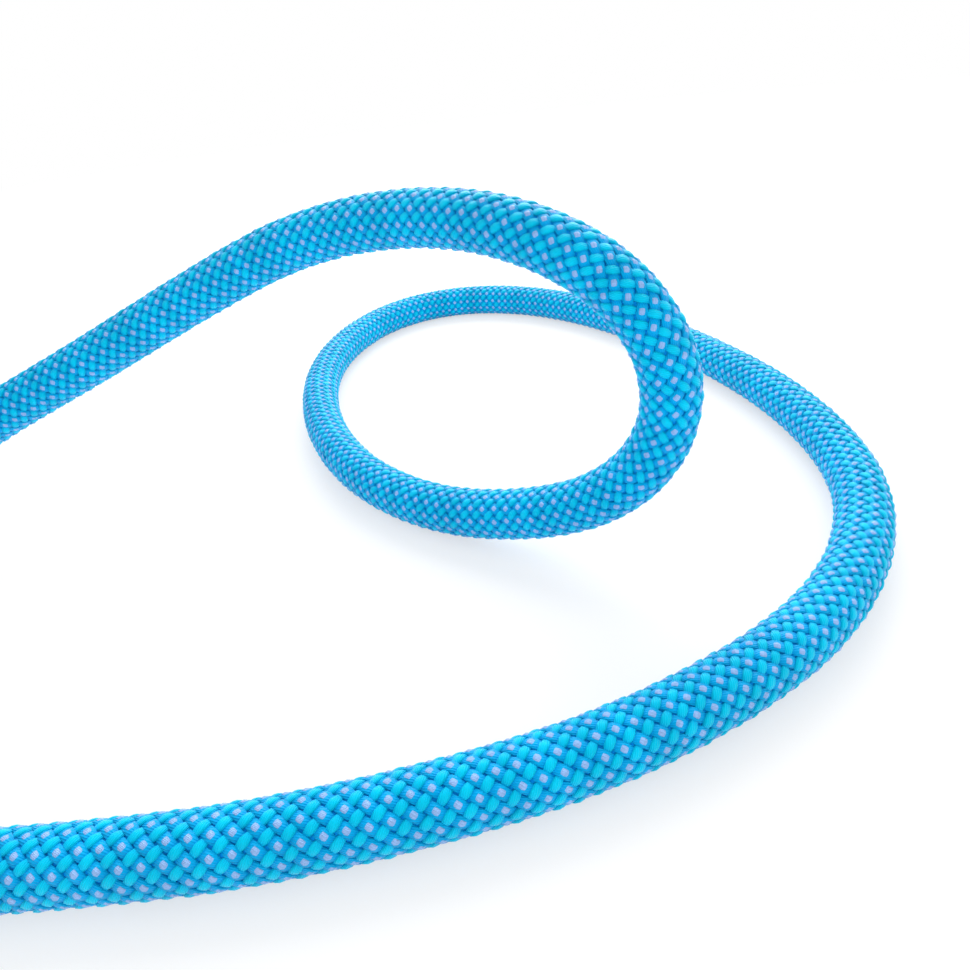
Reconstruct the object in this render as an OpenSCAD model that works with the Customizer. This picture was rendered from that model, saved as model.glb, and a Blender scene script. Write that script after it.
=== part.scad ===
// Dynamic climbing rope: a free stretch that lies in a small loop and a wide bend,
// and the rest of its length wound into a round coil that three straps hold.
// Millimetres, +Z up, floor at z = 0.

/* [Rope] */
// Diameter of the rope
rope_d = 10; // [9:0.1:10.5]
// Length of the whole rope
rope_length = 20000; // [17000:500:24000]
// Thickness of the woven sheath
sheath_wall = 1.1; // [0.9:0.05:1.3]
// Gap between the strands of the core
strand_gap = 0.2; // [0.15:0.05:0.4]
// Diameter of the marker thread in the core
marker_d = 1.2; // [0.8:0.1:1.4]

/* [Coil] */
// Gap between neighbouring loops of the coil
loop_gap = 0.8; // [0.7:0.1:1.5]
// Radius on which the outer loops go round the corners of the bundle
bundle_corner_r = 14; // [13:0.5:18]
// Loops that wind round the outside of the bundle
outer_loops = 20; // [16:4:24]

/* [Ties] */
// Width of each strap
tie_width = 20; // [14:1:26]
// Thickness of the strap
tie_wall = 1.2; // [0.8:0.1:2]
// Length of the strap's overlap on top of the coil
tie_overlap = 26; // [16:1:30]

/* [Rope ends] */
// Length of the sleeve over each end of the rope
sleeve_length = 40; // [30:1:42]
// Thickness of the sleeve
sleeve_wall = 0.6; // [0.4:0.1:1]
// Length of the fused tip of the rope
tip_length = 3; // [2:0.5:5]
// How far the fused tip stands out of its sleeve
tip_proud = 1; // [0.5:0.25:1.5]

/* [Hidden] */
OUTER_STRANDS = 9;
INNER_STRANDS = 3;

rope_r = rope_d / 2;
sleeve_clear = 0.1;
sleeve_r = rope_r + sleeve_clear + sleeve_wall;
cut_over = 1;
floor_clear = 0.3;
tip_r = rope_r - sleeve_clear;
tip_round = 1;

// Height of a sleeved end over the height of the bare rope on the floor
end_lift = sleeve_r + floor_clear - rope_r;

// The free stretch: x, y and the height over a rope that lies on the floor.
// It starts at the sleeved end, goes round the wide bend and the small loop,
// arches over the loop and comes down beside the coil.
free_route = [
    [8, -109, end_lift], [27, -99, end_lift], [46, -89, end_lift], [66, -83, 0],
    [89, -84, 0], [115, -85, 0], [141, -83, 0], [163, -79, 0], [183, -72, 0],
    [201, -62, 0], [215, -48, 0], [224, -31, 0], [227, -10, 0], [225, 14, 0],
    [218, 39, 0], [208, 63, 0], [194, 86, 0], [175, 105, 0], [153, 114, 0],
    [133, 110, 0], [118, 94, 0], [110, 70, 0], [110, 44, 0], [116, 19, 0],
    [127, -3, 0], [143, -19, 0], [160, -29, 3], [175, -37, 10], [184, -39, 21],
    [185, -38, 33], [179, -34, 45], [166, -24, 53], [148, -9, 55], [125, 1, 52],
    [100, 5, 43], [75, 5, 33], [51, 5, 24], [31, 3, 15], [13, -5, 7], [1, -16, 4]
];
// Where the free stretch meets the coil's first loop, and its heading there
join_xy = [-6, -27];
join_heading = 250;

RINGS_PER_LOOP = 24;
COIL_SIDES = 6;
SHEATH_SIDES = 12;
STRAND_SIDES = 6;

// The bundle: outer loops on a rounded square, the inner turns inside it
loop_pitch = rope_d + loop_gap;
turns_across = outer_loops / 4 + 1;
all_turns = turns_across * turns_across;
straight_side = outer_loops * loop_pitch / 4 - PI * bundle_corner_r / 2;
bundle_half = straight_side / 2 + bundle_corner_r;
quarter_length = straight_side + PI * bundle_corner_r / 2;
core_clear = 1.4;

// The straps follow the bundle with room for its facets
tie_clear = 0.8;
tie_angles = [40, 160, 280];
TIE_SECTOR = 60;
bundle_z = tie_wall + tie_clear + rope_r + bundle_half;

// Rings that the last loop lacks, where the tail runs straight instead, bare for a
// little over the rope's diameter and then sleeved
open_rings = 7;
tail_bare = 1.2 * rope_d;
tail_length = tail_bare + sleeve_length - tip_length + tip_proud;

// Where a loop lies on the rounded square, as distance outward and height, at a
// distance along the square from the middle of its outer lower corner
function corner_turn(p, quarter) = quarter == 0 ? p : corner_turn([-p[1], p[0]], quarter - 1);
function on_square(along) =
    let (v = along + PI * bundle_corner_r / 4,
         quarter = floor(v / quarter_length) % 4,
         w = v - floor(v / quarter_length) * quarter_length,
         arc = PI * bundle_corner_r / 2,
         p = w < arc
             ? [straight_side / 2 + bundle_corner_r * cos(w / bundle_corner_r * 180 / PI - 90),
                -straight_side / 2 + bundle_corner_r * sin(w / bundle_corner_r * 180 / PI - 90)]
             : [bundle_half, -straight_side / 2 + w - arc])
    corner_turn(p, quarter);

function unit(v) = v / norm(v);
function sum_of(list, i = 0) = i < len(list) ? list[i] + sum_of(list, i + 1) : 0;
function path_length(p) = sum_of([for (i = [1:len(p) - 1]) norm(p[i] - p[i - 1])]);

heading = [cos(join_heading), sin(join_heading), 0];
start_offset = on_square(0);
join_point = [join_xy[0], join_xy[1], bundle_z + start_offset[1]];
route = concat([for (p = free_route) [p[0], p[1], rope_r + p[2]]], [join_point]);

// The coil's size follows from the length that it holds
free_length = path_length(route);
coiled_length = rope_length - free_length - rope_d - tail_length;
bundle_r = coiled_length / (2 * PI * all_turns);
start_r = bundle_r + start_offset[0];
start_angle = join_heading + 90;
loop_start = join_point + rope_d * heading;
coil_centre = [loop_start[0] + start_r * heading[1], loop_start[1] - start_r * heading[0], 0];

function loop_point(turn) =
    let (a = start_angle - 360 * turn, p = on_square(turn * loop_pitch))
    coil_centre + [(bundle_r + p[0]) * cos(a), (bundle_r + p[0]) * sin(a), bundle_z + p[1]];

last_ring = outer_loops * RINGS_PER_LOOP - open_rings;
last_angle = start_angle - 360 * last_ring / RINGS_PER_LOOP;
loops = [for (i = [0:last_ring]) loop_point(i / RINGS_PER_LOOP)];
tail_start = loops[last_ring];
tail_drop = tail_start[2] - sleeve_r - floor_clear;
tail_dir = unit([sin(last_angle), -cos(last_angle), -tail_drop / tail_length]);
tail_end = tail_start + tail_length * tail_dir;
coil_route = concat([join_point], loops, [tail_start + tail_bare * tail_dir, tail_end]);

// Rings of a tube: its middles, its directions and a normal carried along them
function ends_of(p, i) = p[min(i + 1, len(p) - 1)] - p[max(i - 1, 0)];
function directions(p, last) =
    [for (i = [0:len(p) - 1]) i == len(p) - 1 ? last : unit(ends_of(p, i))];
function carried(t) =
    [for (i = 0, n = unit(cross([0, 0, 1], t[0]));
          i < len(t);
          i = i + 1, n = i < len(t) ? unit(n - (n * t[i]) * t[i]) : n) n];
function rings(p, t, n, r, sides, shift = [0, 0]) =
    [for (i = [0:len(p) - 1])
        let (b = cross(t[i], n[i]), c = p[i] + shift[0] * n[i] + shift[1] * b)
        for (k = [0:sides - 1]) c + r * (cos(k * 360 / sides) * n[i] + sin(k * 360 / sides) * b)];
function wall_faces(count, sides, first, outward) =
    [for (i = [0:count - 2]) for (k = [0:sides - 1])
        let (a = first + i * sides + k, b = first + i * sides + (k + 1) % sides)
        each outward
            ? [[a, a + sides, b], [b, a + sides, b + sides]]
            : [[a, b, a + sides], [b, b + sides, a + sides]]];

module solid_tube(p, t, n, r, sides, shift = [0, 0]) {
    end = (len(p) - 1) * sides;
    caps = [for (k = [1:sides - 2]) each [[0, k, k + 1], [end, end + k + 1, end + k]]];
    polyhedron(rings(p, t, n, r, sides, shift), concat(wall_faces(len(p), sides, 0, true), caps));
}

module hollow_tube(p, t, n, r, wall, sides) {
    inner = len(p) * sides;
    end = inner - sides;
    caps = [for (k = [0:sides - 1])
        let (m = (k + 1) % sides)
        each [[k, m, inner + k], [m, inner + m, inner + k],
              [end + k, inner + end + k, end + m], [end + m, inner + end + k, inner + end + m]]];
    polyhedron(concat(rings(p, t, n, r, sides), rings(p, t, n, r - wall, sides)),
               concat(wall_faces(len(p), sides, 0, true),
                      wall_faces(len(p), sides, inner, false), caps));
}

route_t = directions(route, heading);
route_n = carried(route_t);
coil_t = directions(coil_route, tail_dir);
coil_n = [for (t = coil_t) unit(cross([0, 0, 1], t))];

// The part stands centred on its own outline
sheath_points = rings(route, route_t, route_n, rope_r, SHEATH_SIDES);
coil_points = rings(coil_route, coil_t, coil_n, rope_r, COIL_SIDES);
tie_outer_r = bundle_r + bundle_half + rope_r + tie_clear + tie_wall;
tie_half_angle = asin(tie_width / 2 / tie_outer_r);
tie_points = [for (a = tie_angles) for (s = [-1:0.1:1])
    coil_centre + tie_outer_r * [cos(a + s * tie_half_angle), sin(a + s * tie_half_angle), 0]];
outline = concat(sheath_points, coil_points, tie_points);
xs = [for (p = outline) p[0]];
ys = [for (p = outline) p[1]];
middle = [(min(xs) + max(xs)) / 2, (min(ys) + max(ys)) / 2, 0];

// Layout of the core: strands in a ring inside the sheath and three within the ring
core_r = (rope_r - sheath_wall) * cos(180 / SHEATH_SIDES);
core_play = 0.05;
strand_d = (2 * sin(180 / OUTER_STRANDS) * (core_r - core_play) - strand_gap)
           / (1 + sin(180 / OUTER_STRANDS));
ring_r = core_r - core_play - strand_d / 2;
trio_r = (strand_d + core_play) / (2 * sin(180 / INNER_STRANDS));
function strand_shift(i) = i < INNER_STRANDS
    ? trio_r * [cos(i * 360 / INNER_STRANDS + 180 / OUTER_STRANDS),
                sin(i * 360 / INNER_STRANDS + 180 / OUTER_STRANDS)]
    : ring_r * [cos((i - INNER_STRANDS) * 360 / OUTER_STRANDS),
                sin((i - INNER_STRANDS) * 360 / OUTER_STRANDS)];

// Least gaps: between loops at least half a turn apart, from the tail's end to the
// loops, and from the free stretch to the loops past the rings where it joins them
half_turn = RINGS_PER_LOOP / 2;
join_rings = 4;
least_loop_gap = min([for (i = [0:last_ring - half_turn])
    min([for (j = [i + half_turn:last_ring]) norm(loops[i] - loops[j])])]) - rope_d;
tail_gap = min([for (p = loops) norm(p - tail_end)]) - rope_d;
free_gap = min([for (i = [0:len(route) - 2])
    min([for (j = [join_rings:last_ring]) norm(route[i] - loops[j])])]) - rope_d;

module sheath() {
    color("deepskyblue")
        hollow_tube(route, route_t, route_n, rope_r, sheath_wall, SHEATH_SIDES);
}

module core_strand(i) {
    color("white")
        solid_tube(route, route_t, route_n, strand_d / 2, STRAND_SIDES, strand_shift(i));
}

module marker_thread() {
    color("crimson")
        solid_tube(route, route_t, route_n, marker_d / 2, STRAND_SIDES,
                   strand_shift(INNER_STRANDS + OUTER_STRANDS - 1));
}

module rope_coil() {
    echo(least_loop_gap = least_loop_gap, tail_gap = tail_gap, free_gap = free_gap);
    echo(free_length = free_length, bundle_r = bundle_r, coil_centre = coil_centre - middle);
    color("dodgerblue")
        solid_tube(coil_route, coil_t, coil_n, rope_r, COIL_SIDES);
}

module rounded_square(half, corner_r) {
    square([2 * half, 2 * (half - corner_r)], center = true);
    square([2 * (half - corner_r), 2 * half], center = true);
    for (x = [-1, 1], y = [-1, 1])
        translate([x * (half - corner_r), y * (half - corner_r)])
            circle(corner_r);
}

module inner_turns() {
    inset = rope_r + core_clear;
    color("deepskyblue")
        translate([coil_centre[0], coil_centre[1], bundle_z])
            rotate_extrude($fn = 96)
                translate([bundle_r, 0])
                    rounded_square(bundle_half - inset, bundle_corner_r - inset, $fn = 32);
}

module tie(angle) {
    inside = rope_r + tie_clear;
    outside = inside + tie_wall;
    color("dimgray")
        translate([coil_centre[0], coil_centre[1], bundle_z])
            rotate([0, 0, angle])
                intersection() {
                    rotate([0, 0, -TIE_SECTOR / 2])
                        rotate_extrude(angle = TIE_SECTOR, $fn = 180)
                            translate([bundle_r, 0]) {
                                difference() {
                                    rounded_square(bundle_half + outside, bundle_corner_r + outside,
                                                   $fn = 64);
                                    rounded_square(bundle_half + inside, bundle_corner_r + inside,
                                                   $fn = 64);
                                }
                                translate([-tie_overlap / 2, bundle_half + outside - tie_wall / 2])
                                    square([tie_overlap, tie_wall / 2 + tie_wall]);
                            }
                    translate([0, -tie_width / 2, -tie_outer_r])
                        cube([2 * tie_outer_r, tie_width, 2 * tie_outer_r]);
                }
}

module along(point, dir) {
    translate(point)
        rotate([0, acos(dir[2]), atan2(dir[1], dir[0])])
            children();
}

module end_sleeve(point, dir) {
    color("midnightblue")
        along(point + (tip_length - tip_proud - sleeve_length) * dir, dir)
            difference() {
                cylinder(h = sleeve_length, r = sleeve_r, $fn = 64);
                translate([0, 0, -cut_over])
                    cylinder(h = sleeve_length + 2 * cut_over, r = rope_r + sleeve_clear, $fn = 64);
            }
}

module fused_tip(point, dir) {
    color("navy")
        along(point, dir)
            rotate_extrude($fn = 64) {
                square([tip_r, tip_length - tip_round]);
                square([tip_r - tip_round, tip_length]);
                intersection() {
                    translate([tip_r - tip_round, tip_length - tip_round])
                        circle(tip_round, $fn = 32);
                    square([tip_r, tip_length]);
                }
            }
}

free_end = route[0];
free_dir = -route_t[0];

module placed() {
    translate(-middle)
        children();
}

placed() sheath();
for (i = [0:INNER_STRANDS + OUTER_STRANDS - 2])
    placed() core_strand(i);
placed() marker_thread();
placed() rope_coil();
placed() inner_turns();
for (i = [0:len(tie_angles) - 1])
    placed() tie(tie_angles[i]);
placed() end_sleeve(free_end, free_dir);  // end_sleeve_a
placed() end_sleeve(tail_end, tail_dir);  // end_sleeve_b
placed() fused_tip(free_end, free_dir);  // fused_tip_a
placed() fused_tip(tail_end, tail_dir);  // fused_tip_b
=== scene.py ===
"""A dynamic climbing rope.

A free stretch lies in a small loop and a wide bend, and the rest of the rope is wound
into a round coil that three straps hold. Metres, +Z up, floor at z = 0.
"""

import logging
import math
from dataclasses import asdict, dataclass, field
from enum import Enum
from functools import cache, partial
from typing import NamedTuple

import bmesh
import bpy
from bpy.types import ID, Material, Node, NodeSocket, NodeTree, Object, bpy_prop_collection
from mathutils import Euler, Matrix, Vector


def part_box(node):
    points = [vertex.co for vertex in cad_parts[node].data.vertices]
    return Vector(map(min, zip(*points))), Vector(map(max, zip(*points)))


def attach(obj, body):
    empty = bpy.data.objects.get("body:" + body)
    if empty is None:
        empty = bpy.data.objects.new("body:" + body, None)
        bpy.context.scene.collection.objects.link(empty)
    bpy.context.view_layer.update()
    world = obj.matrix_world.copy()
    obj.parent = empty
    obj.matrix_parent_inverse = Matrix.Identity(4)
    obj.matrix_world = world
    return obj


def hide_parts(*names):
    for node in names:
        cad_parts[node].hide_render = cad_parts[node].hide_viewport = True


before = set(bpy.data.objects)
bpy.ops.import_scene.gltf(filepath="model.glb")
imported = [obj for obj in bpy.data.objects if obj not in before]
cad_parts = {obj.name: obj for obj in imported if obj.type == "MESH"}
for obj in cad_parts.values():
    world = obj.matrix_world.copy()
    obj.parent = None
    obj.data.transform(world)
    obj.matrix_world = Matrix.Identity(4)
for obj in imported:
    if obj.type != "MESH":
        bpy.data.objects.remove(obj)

LOG = logging.getLogger("climbing_rope")
MM = 0.001
BODY = "root"
FULL_TURN = 2 * math.pi
WHITE = "#FFFFFF"
# Points of a mesh that are this close are one
WELD = 1e-6

# The free stretch in millimetres: x, y and the height over a rope that lies on the
# floor, from the sleeved end round the wide bend and the small loop to the coil
SLEEVED_LIFT = 1.0
FREE_ROUTE = [
    (8, -109, SLEEVED_LIFT), (27, -99, SLEEVED_LIFT), (46, -89, SLEEVED_LIFT),
    (66, -83, 0), (89, -84, 0), (115, -85, 0), (141, -83, 0), (163, -79, 0),
    (183, -72, 0), (201, -62, 0), (215, -48, 0), (224, -31, 0), (227, -10, 0),
    (225, 14, 0), (218, 39, 0), (208, 63, 0), (194, 86, 0), (175, 105, 0),
    (153, 114, 0), (133, 110, 0), (118, 94, 0), (110, 70, 0), (110, 44, 0),
    (116, 19, 0), (127, -3, 0), (143, -19, 0), (160, -29, 3), (175, -37, 10),
    (184, -39, 21), (185, -38, 33), (179, -34, 45), (166, -24, 53), (148, -9, 55),
    (125, 1, 52), (100, 5, 43), (75, 5, 33), (51, 5, 24), (31, 3, 15), (13, -5, 7),
    (1, -16, 4),
]
# Where the stretch meets the coil, and the direction in which it runs there
JOIN_XY = (-6, -27)
JOIN_HEADING = math.radians(250)
# Degrees round the coil
STRAP_ANGLES = (40, 160, 280)


class Hand(Enum):
    """Which way a yarn winds round its line."""

    RISING = 1
    STRAIGHT = 0
    FALLING = -1


class Slot(Enum):
    """Names of material slots."""

    SHEATH = "sheath"
    COIL = "coil"
    CORE = "core"
    MARKER = "marker"
    STRAP = "strap"
    SLEEVE = "sleeve"
    TIP = "tip"


def linear_colour(hex_code: str) -> tuple[float, float, float, float]:
    """Turns an sRGB hex colour into the linear RGBA that nodes take.

    Args:
        hex_code: Six hex digits after a hash.

    Returns:
        Linear red, green, blue and an alpha of 1.
    """
    parts = [int(hex_code[i:i + 2], 16) / 255 for i in (1, 3, 5)]
    linear = [c / 12.92 if c <= 0.04045 else ((c + 0.055) / 1.055) ** 2.4 for c in parts]
    return (*linear, 1.0)


def add_node(tree: NodeTree, kind: str, inputs: dict | None = None, **settings: object) -> Node:
    """Adds one node with its settings, its input values and its links.

    Args:
        tree: The node tree that gets the node.
        kind: Blender's name for the type of node.
        inputs: Value, hex colour, socket or node for each input, by its name or number.
        settings: The node's own properties.

    Returns:
        The new node.
    """
    node = tree.nodes.new(kind)
    for name, value in settings.items():
        setattr(node, name, value)
    set_inputs(tree, node, inputs or {})
    return node


def set_inputs(tree: NodeTree, node: Node, inputs: dict) -> None:
    """Gives a node its input values and links.

    Args:
        tree: The node tree that holds the node.
        node: The node.
        inputs: Value, hex colour, socket or node for each input, by its name or number.
    """
    for key, value in inputs.items():
        if isinstance(value, Node):
            value = next(out for out in value.outputs if out.enabled)
        if isinstance(value, NodeSocket):
            tree.links.new(value, node.inputs[key])
        elif isinstance(value, str) and value.startswith("#"):
            node.inputs[key].default_value = linear_colour(value)
        else:
            node.inputs[key].default_value = value


def linked(name: str, data: ID) -> Object:
    """Makes an object and puts it in the scene.

    Args:
        name: Name of the new object.
        data: The mesh, lamp or camera that it shows.

    Returns:
        The object.
    """
    obj = bpy.data.objects.new(name, data)
    bpy.context.scene.collection.objects.link(obj)
    return obj


def eased(share: float) -> float:
    """A share from 0 to 1 that starts and ends gently, held to those limits."""
    share = min(max(share, 0), 1)
    return share * share * (3 - 2 * share)


@dataclass(frozen=True)
class Weave:
    """How the sheath is braided: as many yarns wind one way as the other."""

    carriers: int = 12
    cell: float = 2.65 * MM


WEAVE = Weave()

# ---------------------------------------------------------------- where the rope runs


@dataclass
class Centreline:
    """Points along the middle of a rope, a direction across it at each, and its whole cells."""

    points: list[Vector]
    across: list[Vector] = field(default_factory=list)
    cells: int = 0

    def __post_init__(self) -> None:
        """Counts the cells of the weave and carries a direction along without twist."""
        self.cells = self.cells or round(self.length() / WEAVE.cell)
        if len(self.across) == len(self.points):
            return
        directions = self.directions()
        side = self.across.pop() if self.across else Vector((0, 0, 1)).cross(directions[0])
        for d in directions:
            side = (side - side.dot(d) * d).normalized()
            self.across.append(side)

    def directions(self) -> list[Vector]:
        """The unit direction of travel at each point."""
        p, last = self.points, len(self.points) - 1
        return [(p[min(i + 1, last)] - p[max(i - 1, 0)]).normalized() for i in range(last + 1)]

    def length(self) -> float:
        """Length along the points."""
        return sum((b - a).length for a, b in zip(self.points, self.points[1:]))

    def part(self, first: int, last: int) -> "Centreline":
        """The stretch of the line from one of its points to another, by their numbers."""
        return Centreline(self.points[first:last + 1], self.across[first:last + 1])

    def shifted(self, aside: float, up: float) -> "Centreline":
        """The line of a strand beside this one, along the carried direction and square to it."""
        frames = zip(self.points, self.directions(), self.across)
        return Centreline([p + aside * n + up * d.cross(n) for p, d, n in frames],
                          list(self.across), self.cells)

    def as_path(self, name: str) -> Object:
        """Makes the line a mesh of edges that a node tree can follow.

        Args:
            name: Name of the new object.

        Returns:
            The object, whose points carry the attribute "across".
        """
        mesh = bpy.data.meshes.new(name)
        mesh.from_pydata(self.points, [(i, i + 1) for i in range(len(self.points) - 1)], [])
        attribute = mesh.attributes.new("across", "FLOAT_VECTOR", "POINT")
        attribute.data.foreach_set("vector", [x for side in self.across for x in side])
        return linked(name, mesh)


def smooth_through(knots: list[Vector], spacing: float) -> list[Vector]:
    """Runs a smooth curve through the knots.

    Args:
        knots: Points that the curve passes.
        spacing: Wanted distance between the curve's points.

    Returns:
        The curve's points, knots included.
    """
    knots = [2 * knots[0] - knots[1], *knots, 2 * knots[-1] - knots[-2]]
    line = []
    for a, b, c, d in zip(knots, knots[1:], knots[2:], knots[3:]):
        steps = max(1, round((c - b).length / spacing))
        for i in range(steps):
            t = i / steps
            line.append(0.5 * (2 * b + (c - a) * t + (2 * a - 5 * b + 4 * c - d) * t ** 2
                               + (3 * b - a - 3 * c + d) * t ** 3))
    return [*line, knots[-2]]


def relaxed(line: list[Vector], passes: int, held: int) -> list[Vector]:
    """Evens out the bends of a line as a stiff rope does.

    Args:
        line: Evenly spaced points.
        passes: Times each point moves towards its neighbours' middle.
        held: Points at each end that stay where they are.

    Returns:
        The new points.
    """
    for _ in range(passes):
        line = [p if not held <= i < len(line) - held
                else (line[i - 1] + 2 * p + line[i + 1]) / 4
                for i, p in enumerate(line)]
    return line


@dataclass
class RopeLayout:
    """Sizes of the rope and its coil, and every place that follows from them."""

    diameter: float = 10 * MM
    length: float = 20.0
    loop_gap: float = 0.8 * MM
    corner_radius: float = 14 * MM
    outer_loops: int = 20
    open_share: float = 7 / 24
    tie_wall: float = 1.2 * MM
    tie_clear: float = 0.8 * MM
    sleeve_length: float = 40 * MM
    sleeve_wall: float = 0.6 * MM
    sleeve_clear: float = 0.1 * MM
    floor_clear: float = 0.3 * MM
    tip_length: float = 3 * MM
    tip_proud: float = 1 * MM
    points_per_loop: int = 96
    rings_per_loop: int = 24
    climb_share: float = 0.25
    spacing: float = 1 * MM
    tail_spacing: float = 3 * MM
    lead_points: int = 4
    relax_passes: int = 120
    held_length: float = 42 * MM

    def __post_init__(self) -> None:
        """Works out the coil from the length that it holds, then the frame's shift."""
        self.radius = self.diameter / 2
        self.pitch = self.diameter + self.loop_gap
        self.bend = math.pi * self.corner_radius / 2
        self.quarter = self.outer_loops * self.pitch / 4
        self.straight = self.quarter - self.bend
        self.half = self.straight / 2 + self.corner_radius
        self.turns = self.outer_loops - self.open_share
        self.turns_across = self.outer_loops // 4 + 1
        self.coil_z = self.tie_wall + self.tie_clear + self.radius + self.half
        self.sleeve_radius = self.radius + self.sleeve_clear + self.sleeve_wall
        self.tail_bare = 1.2 * self.diameter
        self.tail_length = self.tail_bare + self.sleeve_length - self.tip_length + self.tip_proud
        out, up = self.on_square(0)
        self.heading = Vector((math.cos(JOIN_HEADING), math.sin(JOIN_HEADING), 0))
        self.join = Vector((JOIN_XY[0] * MM, JOIN_XY[1] * MM, self.coil_z + up))
        self.knots = [Vector((x * MM, y * MM, self.radius + z * MM)) for x, y, z in FREE_ROUTE]
        self.knots.append(self.join)
        self.free_length = sum((b - a).length for a, b in zip(self.knots, self.knots[1:]))
        coiled = self.length - self.free_length - self.diameter - self.tail_length
        self.coil_radius = coiled / (FULL_TURN * self.turns_across ** 2)
        first = self.join + self.diameter * self.heading
        reach = self.coil_radius + out
        self.centre = first + Vector((reach * self.heading.y, -reach * self.heading.x, 0))
        self.centre.z = 0
        low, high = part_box("inner_turns")
        shift = Vector((*((low + high) / 2).xy, 0)) - self.centre
        self.knots = [p + shift for p in self.knots]
        self.join += shift
        self.centre += shift

    def on_square(self, along: float) -> tuple[float, float]:
        """Where a loop lies in the bundle.

        Args:
            along: Distance along the rounded square from its outer lower corner.

        Returns:
            Distance outward and height, from the bundle's middle.
        """
        v = along + self.bend / 2
        side, w = int(v // self.quarter) % 4, v % self.quarter
        if w < self.bend:
            a = w / self.corner_radius - math.pi / 2
            p = (self.straight / 2 + self.corner_radius * math.cos(a),
                 -self.straight / 2 + self.corner_radius * math.sin(a))
        else:
            p = (self.half, -self.straight / 2 + w - self.bend)
        for _ in range(side):
            p = (-p[1], p[0])
        return p

    def angle(self, turn: float) -> float:
        """The angle round the coil after some turns."""
        return JOIN_HEADING + math.pi / 2 - FULL_TURN * turn

    def bundle_point(self, turn: float, out: float, up: float) -> Vector:
        """The point after some turns that lies outward and up from the bundle's middle."""
        a, reach = self.angle(turn), self.coil_radius + out
        return self.centre + Vector((reach * math.cos(a), reach * math.sin(a), self.coil_z + up))

    def loop_point(self, turn: float) -> Vector:
        """The middle of the rope after some turns of the outer loops."""
        return self.bundle_point(turn, *self.on_square(turn * self.pitch))

    def free_line(self) -> Centreline:
        """Runs the free stretch smoothly through its knots and on into the coil.

        Returns:
            The line from the sleeved end to the coil.
        """
        ahead = [self.loop_point(i / self.rings_per_loop) for i in range(2)]
        line = smooth_through([*self.knots, *ahead], self.spacing)
        line = relaxed(line, self.relax_passes, round(self.held_length / self.spacing))
        last = min(range(len(line)), key=lambda i: (line[i] - self.join).length)
        return Centreline([*line[:last], self.join.copy()])

    def tail(self) -> tuple[Vector, Vector]:
        """Lets the tail leave the last loop straight on and run down to the floor.

        Returns:
            The end of the tail and the direction in which it points.
        """
        start, a = self.loop_point(self.turns), self.angle(self.turns)
        drop = start.z - self.sleeve_radius - self.floor_clear
        way = Vector((math.sin(a), -math.cos(a), -drop / self.tail_length)).normalized()
        return start + self.tail_length * way, way

    def coil_line(self) -> Centreline:
        """Winds the outer loops, with the weave going on from the free stretch.

        Returns:
            The line from the join to the end of the tail.
        """
        count = round(self.turns * self.points_per_loop)
        loops = [self.loop_point(self.turns * i / count) for i in range(count + 1)]
        end, way = self.tail()
        steps = round(self.tail_length / self.tail_spacing)
        tail = [end + (i / steps - 1) * self.tail_length * way for i in range(1, steps + 1)]
        lead = [self.join + self.diameter * self.heading * i / self.lead_points
                for i in range(self.lead_points)]
        return Centreline([*lead, *loops, *tail], self.free_line().across[-1:])

    def inner_line(self) -> Centreline:
        """Winds the turns inside the bundle, row by row, in and out and up.

        Returns:
            Their line.
        """
        rows = self.turns_across - 2
        cells = [(col if row % 2 else rows - 1 - col, row)
                 for row in range(rows) for col in range(rows)]
        middle, turns = (rows - 1) / 2, len(cells)
        line = []
        for i in range(turns * self.points_per_loop + 1):
            turn = i / self.points_per_loop
            here = cells[min(int(turn), turns - 1)]
            after = cells[min(int(turn) + 1, turns - 1)]
            # A turn climbs into the next cell of the bundle over its last stretch
            share = eased((turn % 1 - 1) / self.climb_share + 1) if turn < turns else 0
            out, up = (self.pitch * (here[k] + share * (after[k] - here[k]) - middle) for k in (0, 1))
            line.append(self.bundle_point(turn, out, up))
        return Centreline(line)


# ---------------------------------------------------------------- shapes that follow a line


def tree_with(name: str, sizes: dict[str, str]) -> NodeTree:
    """Starts a geometry node tree with named inputs.

    Args:
        name: Name of the tree.
        sizes: Kind of socket for each input, by the input's name.

    Returns:
        The tree, with a geometry input and output.
    """
    tree = bpy.data.node_groups.new(name, "GeometryNodeTree")
    tree.interface.new_socket("Geometry", in_out="INPUT", socket_type="NodeSocketGeometry")
    tree.interface.new_socket("Geometry", in_out="OUTPUT", socket_type="NodeSocketGeometry")
    for label, kind in sizes.items():
        tree.interface.new_socket(label, in_out="INPUT", socket_type=f"NodeSocket{kind}")
    return tree


def grown(path: Object, tree: NodeTree, values: dict) -> Object:
    """Runs a node tree on a path and keeps the result as a plain mesh.

    Args:
        path: Object that the tree starts from.
        tree: The node tree.
        values: Value for each named input.

    Returns:
        The same object with the finished mesh.
    """
    modifier = path.modifiers.new(tree.name, "NODES")
    modifier.node_group = tree
    for item in tree.interface.items_tree:
        if item.in_out == "INPUT" and item.name in values:
            modifier[item.identifier] = values[item.name]
    graph = bpy.context.evaluated_depsgraph_get()
    mesh = bpy.data.meshes.new_from_object(path.evaluated_get(graph), depsgraph=graph)
    path.modifiers.remove(modifier)
    old, path.data = path.data, mesh
    bpy.data.meshes.remove(old)
    mesh.name = path.name
    return path


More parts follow.
